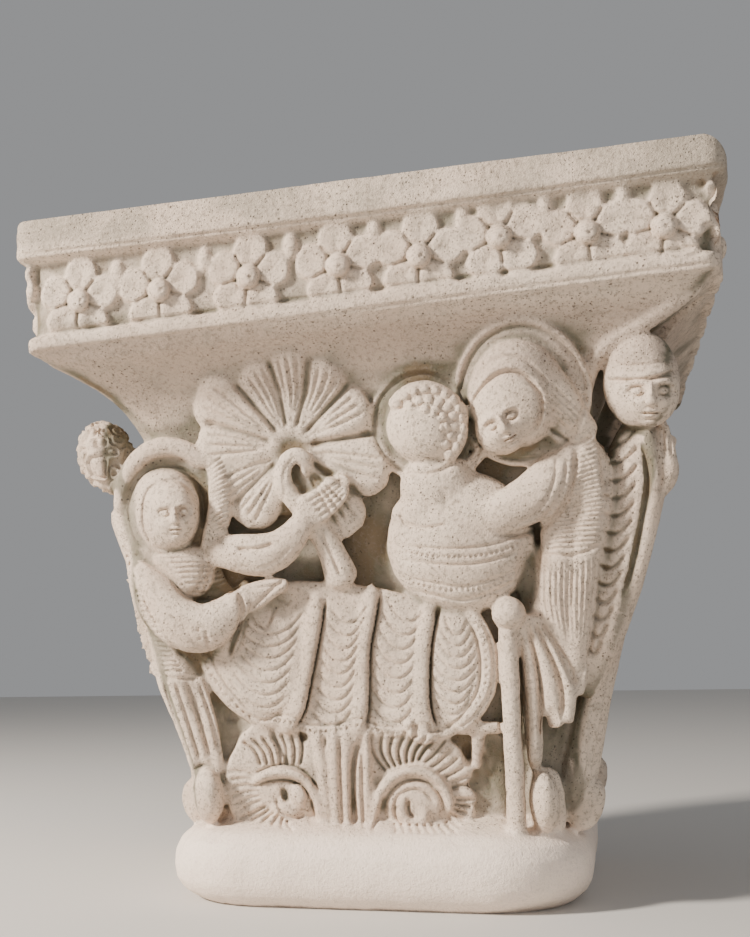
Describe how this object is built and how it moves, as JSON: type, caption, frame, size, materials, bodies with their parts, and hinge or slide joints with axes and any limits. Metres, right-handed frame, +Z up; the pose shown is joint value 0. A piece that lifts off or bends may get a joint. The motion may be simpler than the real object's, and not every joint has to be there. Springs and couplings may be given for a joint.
{
  "type": "column capital",
  "caption": "Square column capital of cast stone: a cushion base, a flaring bell carved with draped figures and leaves, and an abacus with a band of flowers.",
  "frame": {"origin": "on the flat underside, straight below the middle of the abacus", "axes": "+Z up out of the top bed, -Y towards the carved front with the reclining figure, +X to the right as seen from the front"},
  "size_m": [0.3559, 0.356, 0.3531],
  "materials": {
    "cast_stone": "matte"
  },
  "bodies": {
    "root": {"capital": "cast_stone"}
  },
  "joints": []
}
